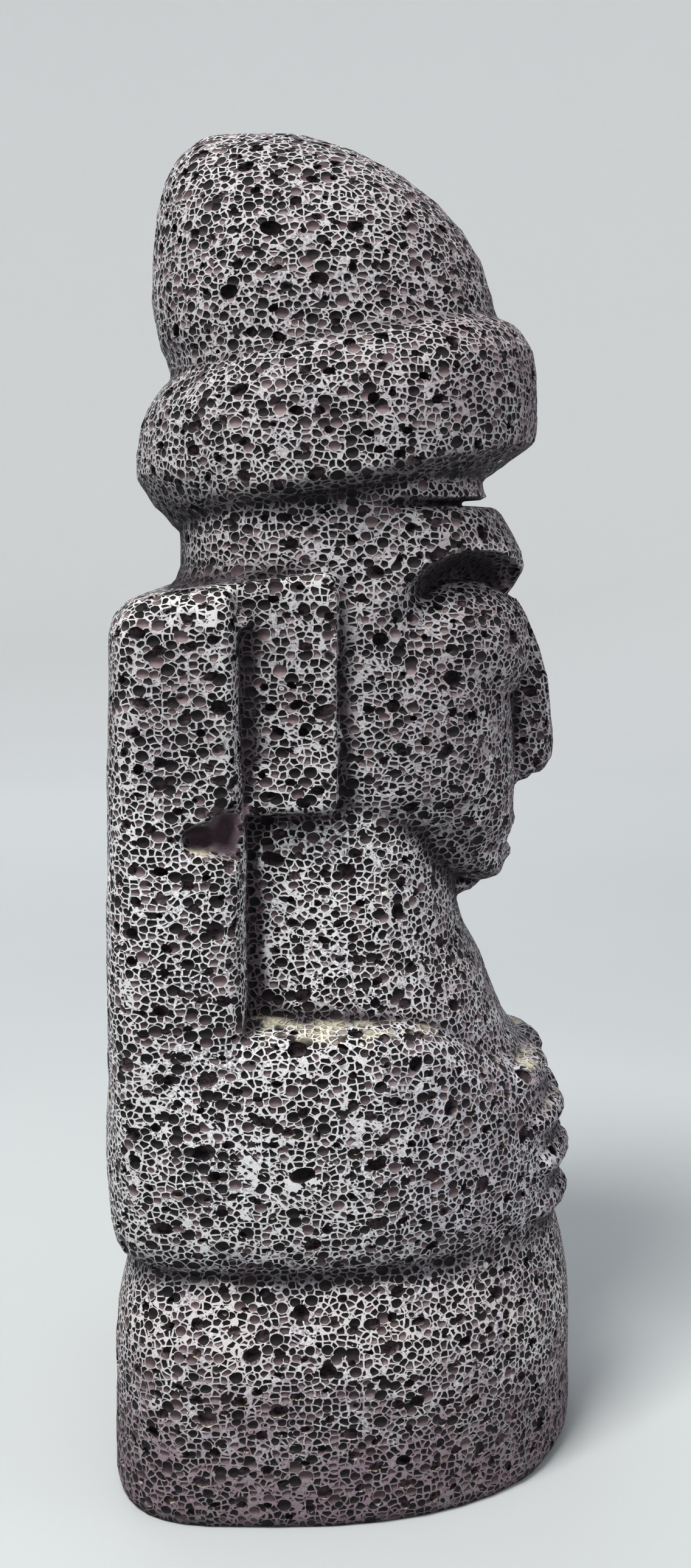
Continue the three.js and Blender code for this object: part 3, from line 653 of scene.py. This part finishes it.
def matt_paper():
    """Plain matt paper of the studio floor: pale, cool and without gloss."""
    material, tree, shader = new_material("pale_matt_paper")
    place = add(tree, "ShaderNodeTexCoord", out="Object")
    cloud = add(tree, NOISE, {"Vector": place, "Scale": 6.0, "Detail": 2.0})
    away = add(tree, VECTOR, (place,), operation="LENGTH")
    away = add(tree, STEP, (away, 0.3, 1.5), **SOFT)
    tone = add(tree, MIX, (cloud, hex_colour("bcc0c2"), hex_colour("c1c5c7")), **COLOURS)
    tone = add(tree, MIX, (away, tone, hex_colour("f1f3f4")), **COLOURS)
    tree.links.new(tone, shader.inputs["Base Color"])
    shader.inputs["Roughness"].default_value = 0.9
    shader.inputs["Specular IOR Level"].default_value = 0.2
    return material


basalt = vesicular_basalt()
stone = closed_copy(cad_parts["statue"])
rebuilt = stone.modifiers.new("rebuilt", "REMESH")
rebuilt.mode = "VOXEL"
rebuilt.voxel_size = GRAIN
wear = stone.modifiers.new("wear", "SMOOTH")
wear.factor = 0.5
wear.iterations = WEAR_STEPS
work_in(stone)
with_tree(
    stone,
    worn_block_tree(),
    {"Unevenness": 1.4 * MM, "Size of a cut": 13 * MM, "Stone": basalt},
)
thinned = stone.modifiers.new("thinned", "DECIMATE")
thinned.ratio = BLOCK_FACES / (2 * len(stone.data.polygons))
work_in(stone)
marks = hollow_marks(stone)
with_tree(
    stone,
    vesicle_tree(),
    {
        "Known hollows": marks,
        "Large spacing": 11 * MM,
        "Large radius": 1.9 * MM,
        "Small spacing": 3.4 * MM,
        "Small radius": 1.3 * MM,
        "Wall": 0.5 * MM,
        "Roughness": 0.7 * MM,
        "Stone": basalt,
    },
)
work_in(stone)
bpy.data.objects.remove(marks)
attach(stone, "root")
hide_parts("statue")


def studio_floor(reach, curve, height, steps=48):
    """A round floor that curves up into a wall on every side."""
    rows = [(reach * 0.5, 0.0), (reach, 0.0)]
    for i in range(1, 9):
        turn = math.pi / 2 * i / 8
        rows.append((reach + curve * math.sin(turn), curve * (1 - math.cos(turn))))
    rows.append((reach + curve, height))
    work = bmesh.new()
    rings = []
    for radius, z in rows:
        turns = [2 * math.pi * k / steps for k in range(steps)]
        ring = [(radius * math.cos(t), radius * math.sin(t), z) for t in turns]
        rings.append([work.verts.new(point) for point in ring])
    work.faces.new(rings[0])
    for low, high in zip(rings, rings[1:]):
        for k in range(steps):
            work.faces.new((low[k], low[(k + 1) % steps], high[(k + 1) % steps], high[k]))
    bmesh.ops.recalc_face_normals(work, faces=work.faces)
    if work.faces[0].normal.z < 0:
        bmesh.ops.reverse_faces(work, faces=work.faces)
    mesh = bpy.data.meshes.new("studio_floor")
    work.to_mesh(mesh)
    work.free()
    mesh.shade_smooth()
    mesh.materials.append(matt_paper())
    obj = bpy.data.objects.new("studio_floor", mesh)
    bpy.context.scene.collection.objects.link(obj)
    return obj


def soft_light(name, place, target, size, watts, colour):
    """A square soft box aimed at a point."""
    data = bpy.data.lights.new(name, "AREA")
    data.size = size
    data.energy = watts
    data.color = hex_colour(colour)[:3]
    lamp = bpy.data.objects.new(name, data)
    bpy.context.scene.collection.objects.link(lamp)
    lamp.location = place
    aim = [t - p for t, p in zip(target, place)]
    lamp.rotation_euler = Vector(aim).to_track_quat("-Z", "Y").to_euler()


studio_floor(1.0, 0.6, 1.3)
soft_light("key_light", (-0.4, 0.25, 0.95), (0, 0, 0.12), 0.3, 11.2, "fffdf8")
soft_light("front_light", (-0.35, -0.9, 0.55), (0, 0, 0.12), 0.6, 0.8, "f4f7ff")
soft_light("back_light", (0.8, 0.2, 0.7), (0, 0, 0.12), 0.7, 2.2, "f4f7ff")

world = bpy.data.worlds.new("studio_air")
world.use_nodes = True
world.node_tree.nodes["Background"].inputs["Color"].default_value = hex_colour("e6e8ea")
world.node_tree.nodes["Background"].inputs["Strength"].default_value = 0.52
bpy.context.scene.world = world
bpy.context.scene.view_settings.view_transform = "Standard"

# the lens takes in 43 degrees over the long side of the picture, from about a forearm's length away
camera_data = bpy.data.cameras.new("camera")
camera_data.sensor_width = 36
camera_data.lens = 36 * 3250 / 2576
camera_data.clip_start = 0.01
camera = bpy.data.objects.new("camera", camera_data)
bpy.context.scene.collection.objects.link(camera)
camera.location = (-0.385, 0.0002, 0.1792)
camera.rotation_euler = (math.radians(90 - 7.675), 0, math.radians(-90))
bpy.context.scene.camera = camera
